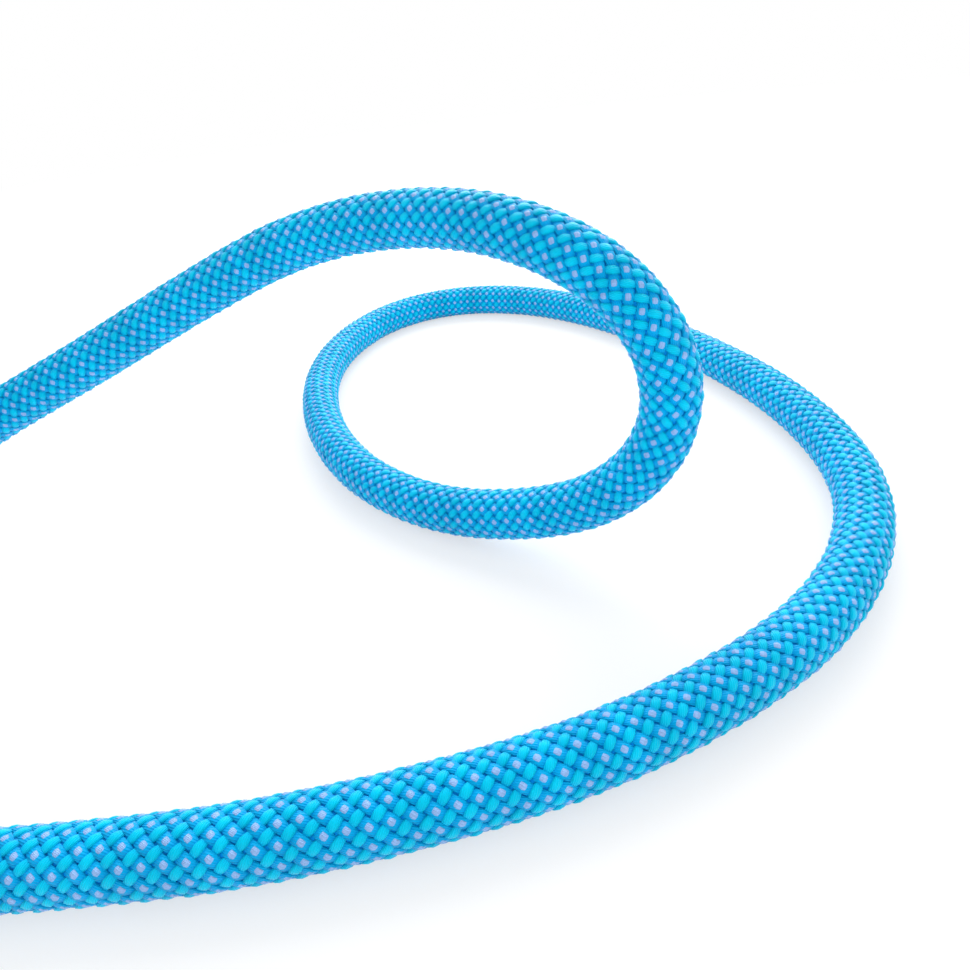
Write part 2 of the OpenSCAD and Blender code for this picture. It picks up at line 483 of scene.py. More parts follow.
def ringed(tree: NodeTree, line: Node, given: bpy_prop_collection) -> tuple[Node, Node]:
    """Divides a line into rings and counts the cells along it.

    Args:
        tree: Tree that gets the nodes.
        line: Node that gives the line as a curve.
        given: The tree's inputs.

    Returns:
        The node that gives the divided line, and the one that counts the cells.
    """
    add = partial(add_node, tree)
    rings = add("ShaderNodeMath", {0: given["Cells"], 1: given["Rings Per Cell"], 2: 1.0},
                operation="MULTIPLY_ADD")
    divided = add("GeometryNodeResampleCurve", {"Curve": line, "Count": rings}, mode="COUNT")
    share = add("GeometryNodeSplineParameter").outputs["Factor"]
    return divided, add("ShaderNodeMath", {0: share, 1: given["Cells"]}, operation="MULTIPLY")


def crests(tree: NodeTree, value: Node) -> Node:
    """Adds a wave from -1 to 1 that crests at each whole number of a value."""
    swing = add_node(tree, "ShaderNodeMath", {0: value, 1: FULL_TURN}, operation="MULTIPLY")
    return add_node(tree, "ShaderNodeMath", {0: swing}, operation="COSINE")


def end_tree(tree: NodeTree, solid: Node, material: NodeSocket) -> None:
    """Smooths a shape, gives it its material and hands it out of the tree.

    Args:
        tree: The tree.
        solid: Node that gives the shape.
        material: Input of the tree that gives the material.
    """
    add = partial(add_node, tree)
    smooth = add("GeometryNodeSetShadeSmooth", {"Geometry": solid})
    real = add("GeometryNodeRealizeInstances", {"Geometry": smooth})
    finished = add("GeometryNodeSetMaterial", {"Geometry": real, "Material": material})
    add("NodeGroupOutput", {"Geometry": finished})


@cache
def yarn_tree() -> NodeTree:
    """Makes the tree that winds yarns round a line, over and under at every cell.

    Returns:
        The tree. A yarn makes one turn in as many cells as there are carriers.
    """
    tree = tree_with("braid yarns", {
        "Carriers": "Int", "Yarns": "Int", "First Yarn": "Int", "Hand": "Float",
        "Cells": "Int", "Rings Per Cell": "Int", "Sides": "Int", "Crest At": "Float",
        "Mean Radius": "Float", "Wave Height": "Float", "Sharpness": "Float",
        "Width": "Float", "Thickness": "Float", "Neck": "Float", "Roundness": "Float",
        "Unevenness": "Float", "Strays Per Metre": "Float", "Seed": "Float",
        "Material": "Material"})
    add = partial(add_node, tree)
    given = add("NodeGroupInput").outputs
    line = add("GeometryNodeMeshToCurve", {"Mesh": given["Geometry"]})
    copies = add("GeometryNodeDuplicateElements", {"Geometry": line, "Amount": given["Yarns"]},
                 domain="SPLINE")
    shape, cell = ringed(tree, copies, given)
    number = add("ShaderNodeMath", {0: copies.outputs["Duplicate Index"], 1: given["First Yarn"]},
                 operation="ADD")
    wound = add("ShaderNodeMath", {0: cell, 1: given["Hand"], 2: number}, operation="MULTIPLY_ADD")
    turns = add("ShaderNodeMath", {0: wound, 1: given["Carriers"]}, operation="DIVIDE")
    # Each crest lies a little further round than the next, and half as much higher or lower
    lot = add("ShaderNodeMath", {0: number, 1: given["Seed"], 2: given["Hand"]},
              operation="MULTIPLY_ADD")
    noise = add("ShaderNodeTexNoise", {"W": lot, "Scale": given["Strays Per Metre"], "Detail": 0.0},
                noise_dimensions="4D")
    chance = add("ShaderNodeMapRange", {0: noise, 1: 0.25, 2: 0.75, 3: -1.0, 4: 1.0})
    stray = add("ShaderNodeMath", {0: chance, 1: given["Unevenness"]}, operation="MULTIPLY")
    drift = add("ShaderNodeMath", {0: stray, 1: given["Mean Radius"]}, operation="DIVIDE")
    angle = add("ShaderNodeMath", {0: turns, 1: FULL_TURN, 2: drift}, operation="MULTIPLY_ADD")
    beat = add("ShaderNodeMath", {0: cell, 1: given["Crest At"]}, operation="SUBTRACT")
    crest = add("ShaderNodeMapRange", {0: crests(tree, beat), 1: -1.0, 2: 1.0, 3: 0.0, 4: 1.0})
    shaped = add("ShaderNodeMath", {0: crest, 1: given["Sharpness"]}, operation="POWER")
    rise = add("ShaderNodeMapRange", {0: shaped, 1: 0.0, 2: 1.0, 3: -1.0, 4: 1.0})
    even = add("ShaderNodeMath", {0: rise, 1: given["Wave Height"], 2: given["Mean Radius"]},
               operation="MULTIPLY_ADD")
    reach = add("ShaderNodeMath", {0: stray, 1: 0.5, 2: even}, operation="MULTIPLY_ADD")
    across = add("GeometryNodeInputNamedAttribute", {"Name": "across"}, data_type="FLOAT_VECTOR")
    outward = add("ShaderNodeVectorRotate",
                  {"Vector": across, "Axis": add("GeometryNodeInputTangent"), "Angle": angle},
                  rotation_type="AXIS_ANGLE")
    for name, value, kind in (("outward", outward, "FLOAT_VECTOR"), ("crest", shaped, "FLOAT"),
                              ("along", cell, "FLOAT")):
        shape = add("GeometryNodeStoreNamedAttribute",
                    {"Geometry": shape, "Name": name, "Value": value}, data_type=kind, domain="POINT")
    offset = add("ShaderNodeVectorMath", {0: outward, "Scale": reach}, operation="SCALE")
    moved = add("GeometryNodeSetPosition", {"Geometry": shape, "Offset": offset})
    kept = add("GeometryNodeInputNamedAttribute", {"Name": "outward"}, data_type="FLOAT_VECTOR")
    turned = add("GeometryNodeSetCurveNormal", {"Curve": moved, "Normal": kept}, mode="FREE")
    height = add("GeometryNodeInputNamedAttribute", {"Name": "crest"}, data_type="FLOAT")
    swell = add("ShaderNodeMapRange", {0: height, 1: 0.0, 2: 1.0, 3: given["Neck"], 4: 1.0})
    solid = add("GeometryNodeCurveToMesh",
                {"Curve": turned, "Profile Curve": yarn_section(tree, given), "Scale": swell,
                 "Fill Caps": True})
    end_tree(tree, with_uv_map(tree, solid), given["Material"])
    return tree


def yarn_section(tree: NodeTree, given: bpy_prop_collection) -> Node:
    """Draws the section of a yarn, which its neighbours press fuller than an ellipse.

    Args:
        tree: Tree that gets the nodes.
        given: The tree's inputs.

    Returns:
        The node that gives the section, with the share of the way round as "around".
    """
    add = partial(add_node, tree)
    circle = add("GeometryNodeCurvePrimitiveCircle", {"Resolution": given["Sides"], "Radius": 1.0})
    share = add("GeometryNodeSplineParameter").outputs["Factor"]
    around = add("GeometryNodeStoreNamedAttribute",
                 {"Geometry": circle, "Name": "around", "Value": share}, data_type="FLOAT",
                 domain="POINT")
    # Each coordinate of the circle is raised to a power, which is below 1 in a full section
    point = add("GeometryNodeInputPosition")
    side = add("ShaderNodeVectorMath", {0: point}, operation="SIGN")
    far = add("ShaderNodeVectorMath", {0: point}, operation="ABSOLUTE")
    power = add("ShaderNodeVectorMath", {0: far, 1: given["Roundness"]}, operation="POWER")
    fuller = add("ShaderNodeVectorMath", {0: power, 1: side}, operation="MULTIPLY")
    pressed = add("GeometryNodeSetPosition", {"Geometry": around, "Position": fuller})
    size = add("ShaderNodeCombineXYZ", {"X": given["Thickness"], "Y": given["Width"], "Z": 1.0})
    half = add("ShaderNodeVectorMath", {0: size, "Scale": 0.5}, operation="SCALE")
    return add("GeometryNodeTransform",
               {"Geometry": pressed, "Rotation": Euler((0, 0, math.pi)), "Scale": half})


def with_uv_map(tree: NodeTree, solid: Node) -> Node:
    """Stores cells along and the share of the way round as the UV map.

    Args:
        tree: Tree that gets the nodes.
        solid: Node that gives the mesh, with attributes "along" and "around".

    Returns:
        The node that gives the mapped mesh.
    """
    add = partial(add_node, tree)
    along, around = (add("GeometryNodeInputNamedAttribute", {"Name": name}, data_type="FLOAT")
                     for name in ("along", "around"))
    place = add("ShaderNodeCombineXYZ", {"X": along, "Y": around})
    return add("GeometryNodeStoreNamedAttribute", {"Geometry": solid, "Name": "UVMap", "Value": place},
               data_type="FLOAT2", domain="CORNER")


@cache
def tube_tree() -> NodeTree:
    """Makes the tree that sheathes a line in a tube with the relief of the braid.

    Returns:
        The tree. Its rings and sides fall on the crossings of the yarns.
    """
    tree = tree_with("braided tube", {
        "Carriers": "Int", "Cells": "Int", "Rings Per Cell": "Float", "Sides": "Int",
        "Radius": "Float", "Relief": "Float", "Material": "Material"})
    add = partial(add_node, tree)
    given = add("NodeGroupInput").outputs
    line = add("GeometryNodeMeshToCurve", {"Mesh": given["Geometry"]})
    divided, cell = ringed(tree, line, given)
    marked = add("GeometryNodeStoreNamedAttribute",
                 {"Geometry": divided, "Name": "along", "Value": cell}, data_type="FLOAT",
                 domain="POINT")
    across = add("GeometryNodeInputNamedAttribute", {"Name": "across"}, data_type="FLOAT_VECTOR")
    turned = add("GeometryNodeSetCurveNormal", {"Curve": marked, "Normal": across}, mode="FREE")
    points = add("ShaderNodeMath", {0: given["Sides"], 1: 1.0}, operation="ADD")
    circle = add("GeometryNodeCurveArc",
                 {"Resolution": points, "Radius": given["Radius"], "Sweep Angle": FULL_TURN},
                 mode="RADIUS")
    share = add("GeometryNodeSplineParameter").outputs["Factor"]
    profile = add("GeometryNodeStoreNamedAttribute",
                  {"Geometry": circle, "Name": "around", "Value": share}, data_type="FLOAT",
                  domain="POINT")
    solid = add("GeometryNodeCurveToMesh", {"Curve": turned, "Profile Curve": profile})
    waves = []
    for name, count in (("along", 1.0), ("around", given["Carriers"])):
        place = add("GeometryNodeInputNamedAttribute", {"Name": name}, data_type="FLOAT")
        cells = add("ShaderNodeMath", {0: place, 1: count}, operation="MULTIPLY")
        waves.append(crests(tree, cells))
    # The skin stays up where both waves crest or both dip, and sinks between
    checker = add("ShaderNodeMath", {0: waves[0], 1: waves[1]}, operation="MULTIPLY")
    lift = add("ShaderNodeMapRange", {0: checker, 1: -1.0, 2: 1.0, 3: given["Relief"], 4: 0.0})
    sunk = add("ShaderNodeMath", {0: lift, 1: -1.0}, operation="MULTIPLY")
    offset = add("ShaderNodeVectorMath", {0: add("GeometryNodeInputNormal"), "Scale": sunk},
                 operation="SCALE")
    closed = add("GeometryNodeMergeByDistance",
                 {"Geometry": with_uv_map(tree, solid), "Distance": WELD})
    carved = add("GeometryNodeSetPosition", {"Geometry": closed, "Offset": offset})
    end_tree(tree, carved, given["Material"])
    return tree


def closed_tube(name: str, line: Centreline, radius: float, material: Material, sides: int,
                rings_per_cell: float, relief: float = 0.0) -> Object:
    """Sheathes a line in a tube and closes its ends.

    Args:
        name: Name of the new object.
        line: The middle of the tube.
        radius: Radius of the tube over the crests.
        material: Material of the tube.
        sides: Sides of the tube.
        rings_per_cell: Rings of points in a cell of the weave.
        relief: Depth of the weave's relief.

    Returns:
        The tube.
    """
    tube = grown(line.as_path(name), tube_tree(), {
        "Carriers": WEAVE.carriers, "Cells": line.cells, "Rings Per Cell": rings_per_cell,
        "Sides": sides, "Radius": radius, "Relief": relief, "Material": material})
    mesh = bmesh.new()
    mesh.from_mesh(tube.data)
    bmesh.ops.holes_fill(mesh, edges=[e for e in mesh.edges if e.is_boundary], sides=0)
    bmesh.ops.recalc_face_normals(mesh, faces=mesh.faces)
    mesh.to_mesh(tube.data)
    mesh.free()
    return tube


def skinned(name: str, rings: list[list[Vector]], along: list[float], around: list[float],
            looped: bool = False) -> Object:
    """Joins closed rings of points into one closed skin with a UV map.

    Args:
        name: Name of the new object.
        rings: The rings, each with the same number of points.
        along: UV coordinate of each ring, and of the first again if looped.
        around: UV coordinate of each point on a ring, and of the first again.
        looped: Whether the last ring joins the first, or both ends are closed.

    Returns:
        The object.
    """
    sides, count = len(rings[0]), len(rings)
    mesh = bmesh.new()
    uv = mesh.loops.layers.uv.new("UVMap")
    verts = [[mesh.verts.new(p) for p in ring] for ring in rings]
    for i in range(count if looped else count - 1):
        for k in range(sides):
            corners = [(i, k), (i, k + 1), (i + 1, k + 1), (i + 1, k)]
            face = mesh.faces.new([verts[r % count][c % sides] for r, c in corners])
            face.smooth = True
            for loop, (r, c) in zip(face.loops, corners):
                loop[uv].uv = (along[r], around[c])
    if not looped:
        for i, ring in ((0, verts[0][::-1]), (-1, verts[-1])):
            for loop, point in zip(mesh.faces.new(ring).loops, ring):
                loop[uv].uv = (along[i], around[verts[i].index(point)])
    bmesh.ops.recalc_face_normals(mesh, faces=mesh.faces)
    data = bpy.data.meshes.new(name)
    mesh.to_mesh(data)
    mesh.free()
    return linked(name, data)


def arc(middle: tuple[float, float], radius: float, start: float, turn: float,
        steps: int) -> list[tuple[float, float]]:
    """Points of a profile on an arc, from a start through a turn, both in degrees."""
    angles = [math.radians(start + turn * i / steps) for i in range(steps + 1)]
    return [(middle[0] + radius * math.cos(a), middle[1] + radius * math.sin(a)) for a in angles]


@dataclass(frozen=True)
class YarnSet:
    """Yarns that wind the same way. Each number is the yarn tree's input of that name."""

    hand: Hand
    mean_radius: float
    wave_height: float
    sharpness: float
    width: float
    thickness: float
    neck: float
    crest_at: float
    sides: int
    rings_per_cell: int
    carriers: int = 1
    yarns: int = 1
    roundness: float = 1.0
    unevenness: float = 0.0
    strays_per_metre: float = 1 / (4 * MM)
    seed: float = 3.7

    def wind(self, name: str, line: Centreline, material: Material, first: int = 0) -> Object:
        """Winds the yarns round a line.

        Args:
            name: Name of the new object.
            line: The line that they follow.
            material: Material of the yarns.
            first: Carrier of the first yarn.

        Returns:
            The yarns as one object.
        """
        sizes = {label.replace("_", " ").title(): value for label, value in asdict(self).items()}
        return grown(line.as_path(name), yarn_tree(), sizes | {
            "Hand": float(self.hand.value), "First Yarn": first, "Cells": line.cells,
            "Material": material})


# ---------------------------------------------------------------- finishes


def new_material(name: str) -> tuple[Material, NodeTree, Node]:
    """Starts a material.

    Args:
        name: What the surface is made of and how.

    Returns:
        The material, its tree and its shader.
    """
    material = bpy.data.materials.new(name)
    material.use_nodes = True
    tree = material.node_tree
    return material, tree, tree.nodes["Principled BSDF"]


def uv_parts(tree: NodeTree) -> tuple[NodeSocket, NodeSocket]:
    """Adds the UV map and gives its way along and its way round or across."""
    place = add_node(tree, "ShaderNodeUVMap", uv_map="UVMap")
    return tuple(add_node(tree, "ShaderNodeSeparateXYZ", {"Vector": place}).outputs)[:2]


def soft_patches(tree: NodeTree, size: float, low: float, high: float) -> Node:
    """Adds a slow random change over the object.

    Args:
        tree: Tree that gets the nodes.
        size: Size of the patches in metres.
        low: Value in the darkest patch.
        high: Value in the lightest patch.

    Returns:
        The node that gives the value.
    """
    place = add_node(tree, "ShaderNodeTexCoord").outputs["Object"]
    noise = add_node(tree, "ShaderNodeTexNoise", {"Vector": place, "Scale": 1 / size, "Detail": 2.0})
    return add_node(tree, "ShaderNodeMapRange", {0: noise, 1: 0.3, 2: 0.7, 3: low, 4: high})


def ridges(tree: NodeTree, value: Node | NodeSocket, count: float) -> Node:
    """Adds a wave from -1 to 1 with a count of ridges in each unit of a value."""
    swing = add_node(tree, "ShaderNodeMath", {0: value, 1: count * FULL_TURN}, operation="MULTIPLY")
    return add_node(tree, "ShaderNodeMath", {0: swing}, operation="SINE")


def nearest(tree: NodeTree, value: Node | NodeSocket, offset: float) -> Node:
    """Adds the distance of a value from the nearest whole number plus an offset.

    Args:
        tree: Tree that gets the nodes.
        value: Node or socket with the value.
        offset: What is added to the whole numbers.

    Returns:
        The node that gives the distance, with its sign.
    """
    moved = add_node(tree, "ShaderNodeMath", {0: value, 1: offset}, operation="SUBTRACT")
    whole = add_node(tree, "ShaderNodeMath", {0: moved}, operation="ROUND")
    return add_node(tree, "ShaderNodeMath", {0: moved, 1: whole}, operation="SUBTRACT")


@dataclass(frozen=True)
class Crest:
    """Where a yarn's crests lie on a surface, and half their width and length, in cells."""

    hand: Hand
    offset: float
    half_width: float
    half_length: float

    def distance(self, tree: NodeTree) -> Node:
        """Adds the distance from the nearest crest's middle, which is 1 at its outline.

        Args:
            tree: Tree that gets the nodes.

        Returns:
            The node that gives the distance.
        """
        add = partial(add_node, tree)
        along, around = uv_parts(tree)
        turn = add("ShaderNodeMath", {0: around, 1: WEAVE.carriers}, operation="MULTIPLY")
        u, v = nearest(tree, along, self.offset), nearest(tree, turn, self.offset)
        wound = add("ShaderNodeMath", {0: u, 1: float(self.hand.value)}, operation="MULTIPLY")
        aside = add("ShaderNodeMath", {0: v, 1: wound}, operation="SUBTRACT")
        ahead = add("ShaderNodeMath", {0: v, 1: wound}, operation="ADD")
        width = add("ShaderNodeMath", {0: aside, 1: self.half_width}, operation="DIVIDE")
        length = add("ShaderNodeMath", {0: ahead, 1: self.half_length}, operation="DIVIDE")
        both = add("ShaderNodeCombineXYZ", {"X": width, "Y": length})
        return add("ShaderNodeVectorMath", {0: both}, operation="LENGTH")


@dataclass(frozen=True)
class YarnFinish:
    """Twisted polyamide filament: satin, with fine slanting fibres."""

    name: str
    crest: str
    # Colour where the yarn dips under its neighbour, darkened as painted shade
    valley: str
    sheen: str
    groove_shade: float = 1.0
    groove: float = 0.07
    flank_shade: float = 0.82
    roughness: float = 0.45
    specular: float = 0.5
    fibres_around: float = 14.0
    slant: float = 4.0
    fibre_depth: float = 0.04 * MM
    patch: float = 60 * MM

    def material(self) -> Material:
        """Builds the material from the yarn's own UV map and its height in the braid.

        Returns:
            The material.
        """
        material, tree, shader = new_material(self.name)
        add = partial(add_node, tree)
        height = add("ShaderNodeAttribute", attribute_name="crest").outputs["Fac"]
        # Where a yarn dips under its neighbour its colour is darker than on its crest: painted shade of
        # the dip
        colour = add("ShaderNodeMix", {"Factor": height, 6: self.valley, 7: self.crest},
                     data_type="RGBA")
        along, around = uv_parts(tree)
        # Each crest takes the dye a little differently, and so does each length
        cell = add("ShaderNodeMath", {0: along}, operation="ROUND")
        chance = add("ShaderNodeTexWhiteNoise", {"W": cell}, noise_dimensions="1D")
        value = add("ShaderNodeMapRange", {0: chance, 3: 0.92, 4: 1.06})
        patches = soft_patches(tree, self.patch, 0.96, 1.04)
        # Filaments wind slowly round the yarn, with shade between them. Real ones are too
        # fine to show, so these are about 0.25 mm wide
        wound = add("ShaderNodeMath", {0: along, 1: self.slant / self.fibres_around, 2: around},
                    operation="MULTIPLY_ADD")
        fibre = ridges(tree, wound, self.fibres_around)
        between = add("ShaderNodeMapRange", {0: fibre, 1: -1.0, 2: 1.0, 3: 0.93, 4: 1.03})
        # Two ends lie side by side in a thread, with a groove along their middle whose shade is painted
        # into the colour
        middle = add("ShaderNodeMath", {0: around, 1: 0.5}, operation="SUBTRACT")
        apart = add("ShaderNodeMath", {0: middle}, operation="ABSOLUTE")
        ends = add("ShaderNodeMapRange", {0: apart, 1: 0.0, 2: self.groove, 3: self.groove_shade, 4: 1.0},
                   interpolation_type="SMOOTHSTEP")
        # The flanks of a yarn turn away under its neighbours and lie in their shade
        flank = add("ShaderNodeMapRange", {0: apart, 1: 0.1, 2: 0.25, 3: 1.0, 4: self.flank_shade})
        for share in (patches, between, ends, flank):
            value = add("ShaderNodeMath", {0: value, 1: share}, operation="MULTIPLY")
        # Light that passes through the dyed fibres gives them a sheen of their own colour
        set_inputs(tree, shader, {
            "Base Color": add("ShaderNodeHueSaturation", {"Color": colour, "Value": value}),
            "Normal": add("ShaderNodeBump",
                          {"Strength": 0.8, "Distance": self.fibre_depth, "Height": fibre}),
            "Roughness": self.roughness, "Specular IOR Level": self.specular,
            "Specular Tint": self.sheen})
        return material


@dataclass(frozen=True)
class BraidFinish:
    """The whole weave on one surface: floats, the yarns that cross them and their threads."""

    name: str
    float_colour: str
    shade: str
    cross_colour: str
    thread_colour: str
    sheen: str
    # Painted shade of the open weave between the crests
    gap: str = "#0064B4"
    floats: Crest = Crest(Hand.FALLING, 0.0, 0.46, 0.8)
    crossing: Crest = Crest(Hand.RISING, 0.5, 0.5, 0.7)
    threads: Crest = Crest(Hand.RISING, 0.5, 0.26, 0.3)
    roughness: float = 0.45
    specular: float = 0.5
    depth: float = 0.4 * MM
    patch: float = 60 * MM

    def material(self) -> Material:
        """Builds the material from a UV map of cells along and turns around.

        Returns:
            The material.
        """
        material, tree, shader = new_material(self.name)
        add = partial(add_node, tree)
        on_float, on_cross, on_thread = (
            crest.distance(tree) for crest in (self.floats, self.crossing, self.threads))
        # Each mask is full up to one distance from the middle of a crest and gone at another
        dome, float_mask, cross_mask, thread_mask = (
            add("ShaderNodeMapRange", {0: distance, 1: full, 2: gone, 3: 1.0, 4: 0.0})
            for distance, full, gone in ((on_float, 0.2, 1.0), (on_float, 0.85, 1.1),
                                         (on_cross, 0.8, 1.2), (on_thread, 0.8, 1.15)))
        lit = add("ShaderNodeMix", {"Factor": dome, 6: self.shade, 7: self.float_colour},
                  data_type="RGBA")
        # Between the crests the open weave is painted a dark colour, as painted shade
        colour = self.gap
        for mask, over in ((cross_mask, self.cross_colour), (float_mask, lit),
                           (thread_mask, self.thread_colour)):
            colour = add("ShaderNodeMix", {"Factor": mask, 6: colour, 7: over}, data_type="RGBA")
        patches = soft_patches(tree, self.patch, 0.95, 1.05)
        height = dome
        for mask in (thread_mask, cross_mask):
            height = add("ShaderNodeMath", {0: height, 1: mask}, operation="MAXIMUM")
        # Light that passes through the dyed fibres gives them a sheen of their own colour
        set_inputs(tree, shader, {
            "Base Color": add("ShaderNodeHueSaturation", {"Color": colour, "Value": patches}),
            "Normal": add("ShaderNodeBump",
                          {"Strength": 0.6, "Distance": self.depth, "Height": height}),
            "Roughness": self.roughness, "Specular IOR Level": self.specular,
            "Specular Tint": self.sheen})
        return material


@dataclass(frozen=True)
class StrandFinish:
    """Plied polyamide strand: plies that wind round it, matt."""

    name: str
    colour: str
    ply_turn: float = 9 * MM
    plies: int = 3
    ply_depth: float = 0.15 * MM
    roughness: float = 0.7

    def material(self) -> Material:
        """Builds the material from a UV map of cells along and turns around.

        Returns:
            The material.
        """
        material, tree, shader = new_material(self.name)
        add = partial(add_node, tree)
        along, around = uv_parts(tree)
        wound = add("ShaderNodeMath", {0: along, 1: WEAVE.cell / self.ply_turn, 2: around},
                    operation="MULTIPLY_ADD")
        ply = ridges(tree, wound, self.plies)
        shade = add("ShaderNodeMapRange", {0: ply, 1: -1.0, 2: 1.0, 3: 0.82, 4: 1.0})
        set_inputs(tree, shader, {
            "Base Color": add("ShaderNodeHueSaturation", {"Color": self.colour, "Value": shade}),
            "Normal": add("ShaderNodeBump",
                          {"Strength": 0.6, "Distance": self.ply_depth, "Height": ply}),
            "Roughness": self.roughness})
        return material


@dataclass(frozen=True)
class WebbingFinish:
    """Woven polyamide webbing: fine ribs across, a plain selvedge, matt and dark."""

    name: str = "woven polyamide webbing, charcoal"
    colour: str = "#24272C"
    # Paler colour on the tops of the ribs and in dusty patches
    worn: str = "#3C4148"
    rib: float = 1.3 * MM
    warp: float = 0.9 * MM
    rib_depth: float = 0.2 * MM
    dust_patch: float = 12 * MM
    roughness: float = 0.85

    def material(self) -> Material:
        """Builds the material from a UV map in metres along and across the strap.

        Returns:
            The material.
        """
        material, tree, shader = new_material(self.name)
        add = partial(add_node, tree)
        # Ribs and warp are drawn a little coarser than real ones, so that they show
        ribs, warps = (ridges(tree, part, 1 / size)
                       for part, size in zip(uv_parts(tree), (self.rib, self.warp)))
        weave = add("ShaderNodeMath", {0: ribs, 1: warps}, operation="MULTIPLY")
        height = add("ShaderNodeMapRange", {0: weave, 1: -1.0, 2: 1.0, 3: 0.0, 4: 1.0})
        dust = soft_patches(tree, self.dust_patch, 0.0, 0.35)
        # The tops of the ribs are paler than the hollows between them, and dusty patches are paler too
        share = add("ShaderNodeMath", {0: height, 1: 0.4, 2: dust}, operation="MULTIPLY_ADD")
        set_inputs(tree, shader, {
            "Base Color": add("ShaderNodeMix", {"Factor": share, 6: self.colour, 7: self.worn},
                              data_type="RGBA"),
            "Normal": add("ShaderNodeBump",
                          {"Strength": 0.8, "Distance": self.rib_depth, "Height": height}),
            "Roughness": self.roughness})
        return material


@dataclass(frozen=True)
class SleeveFinish:
    """Shrunk-on plastic film: the weave presses through it softly."""

    name: str = "shrunk-on polyolefin sleeve, navy"
    colour: str = "#0C2A5C"
    pale: str = "#174080"
    pressed: Crest = Crest(Hand.FALLING, 0.0, 0.5, 0.9)
    press_depth: float = 0.25 * MM
    rubbed_patch: float = 8 * MM
    handled_patch: float = 15 * MM

    def material(self) -> Material:
        """Builds the material from a UV map of cells along and turns around.

        Returns:
            The material.
        """
        material, tree, shader = new_material(self.name)
        add = partial(add_node, tree)
        height = add("ShaderNodeMapRange",
                     {0: self.pressed.distance(tree), 1: 0.0, 2: 1.0, 3: 1.0, 4: 0.0},
                     interpolation_type="SMOOTHSTEP")
        rubbed = soft_patches(tree, self.rubbed_patch, 0.0, 0.5)
        share = add("ShaderNodeMath", {0: height, 1: rubbed}, operation="MULTIPLY")
        set_inputs(tree, shader, {
            "Base Color": add("ShaderNodeMix", {"Factor": share, 6: self.colour, 7: self.pale},
                              data_type="RGBA"),
            "Normal": add("ShaderNodeBump",
                          {"Strength": 0.5, "Distance": self.press_depth, "Height": height}),
            # The film is smoother where it has been handled
            "Roughness": soft_patches(tree, self.handled_patch, 0.3, 0.45)})
        return material


@dataclass(frozen=True)
class MeltFinish:
    """Sheath and core melted together: hard, glossy and streaked."""

    name: str = "fused polyamide, blue"
    colour: str = "#0A3A7C"
    streak: str = "#2C86C8"
    streak_size: float = 2.5 * MM
    lump_size: float = 1.2 * MM
    lump_depth: float = 0.2 * MM
    roughness: float = 0.25
    coat: float = 0.3

    def material(self) -> Material:
        """Builds the material from the object's own coordinates.

        Returns:
            The material.
        """
        material, tree, shader = new_material(self.name)
        add = partial(add_node, tree)
        streaks, lumps = (soft_patches(tree, size, 0.0, 1.0)
                          for size in (self.streak_size, self.lump_size))
        set_inputs(tree, shader, {
            "Base Color": add("ShaderNodeMix", {"Factor": streaks, 6: self.colour, 7: self.streak},
                              data_type="RGBA"),
            "Normal": add("ShaderNodeBump",
                          {"Strength": 0.6, "Distance": self.lump_depth, "Height": lumps}),
            "Roughness": self.roughness, "Coat Weight": self.coat})
        return material


# ---------------------------------------------------------------- sub-assemblies


def settle(pieces: list[Object]) -> None:
    """Makes pieces ride on the rope and logs their faces.

    Args:
        pieces: The new pieces.
    """
    for piece in pieces:
        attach(piece, BODY)
        LOG.info("%s: %d faces", piece.name, len(piece.data.polygons))


@dataclass
class BraidedStretch:
    """The free stretch with every yarn of its sheath."""

    layout: RopeLayout
    lining_radius: float = 4.45 * MM
    lining_sides: int = 16

    def yarn_sets(self) -> list[tuple[str, YarnSet, YarnFinish]]:
        """Shapes the sheath's yarns: thick floats one way, flat ones with a thread the other.

        Returns:
            Name, yarns and finish of each set.
        """
        woven = {"carriers": WEAVE.carriers, "roundness": 0.7, "unevenness": 0.12 * MM}
        floats = YarnSet(
            Hand.FALLING, mean_radius=4.40 * MM, wave_height=0.17 * MM, sharpness=0.85,
            width=1.45 * MM, thickness=0.86 * MM, neck=0.6, crest_at=0.0, sides=8,
            rings_per_cell=8, yarns=4, **woven)
        cross = YarnSet(
            Hand.RISING, mean_radius=4.38 * MM, wave_height=0.17 * MM, sharpness=0.8,
            width=1.85 * MM, thickness=0.74 * MM, neck=0.8, crest_at=0.5, sides=6,
            rings_per_cell=6, yarns=6, **woven)
        threads = YarnSet(
            Hand.RISING, mean_radius=4.45 * MM, wave_height=0.27 * MM, sharpness=1.5,
            width=0.98 * MM, thickness=0.60 * MM, neck=0.4, crest_at=0.5, sides=6,
            rings_per_cell=8, yarns=6, **woven)
        cyan = YarnFinish("twisted polyamide, cyan", "#00CEF4", "#00A8EC", "#50E4FF")
        blue = YarnFinish("twisted polyamide, blue", "#00B0EE", "#0098E4", "#40C0FF")
        lilac = YarnFinish("twisted polyamide, lilac", "#A0C8FF", "#88B8FF", "#BCD8FF", 0.9)
        return [("float_yarns", floats, cyan), ("cross_yarns", cross, blue),
                ("lilac_threads", threads, lilac)]

    def build(self) -> None:
        line = self.layout.free_line()
        inside = YarnFinish("polyamide yarn inside the braid, blue", "#0098EC", "#0098EC", "#3090F0")
        core = closed_tube("sheath_lining", line, self.lining_radius, inside.material(),
                           self.lining_sides, rings_per_cell=1.0)
        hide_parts("sheath")
        made = []
        for name, yarns, finish in self.yarn_sets():
            material = finish.material()
            for i in range(WEAVE.carriers // yarns.yarns):
                made.append(yarns.wind(f"{name}_{i + 1}", line, material, first=i * yarns.yarns))
        settle([core, *made])


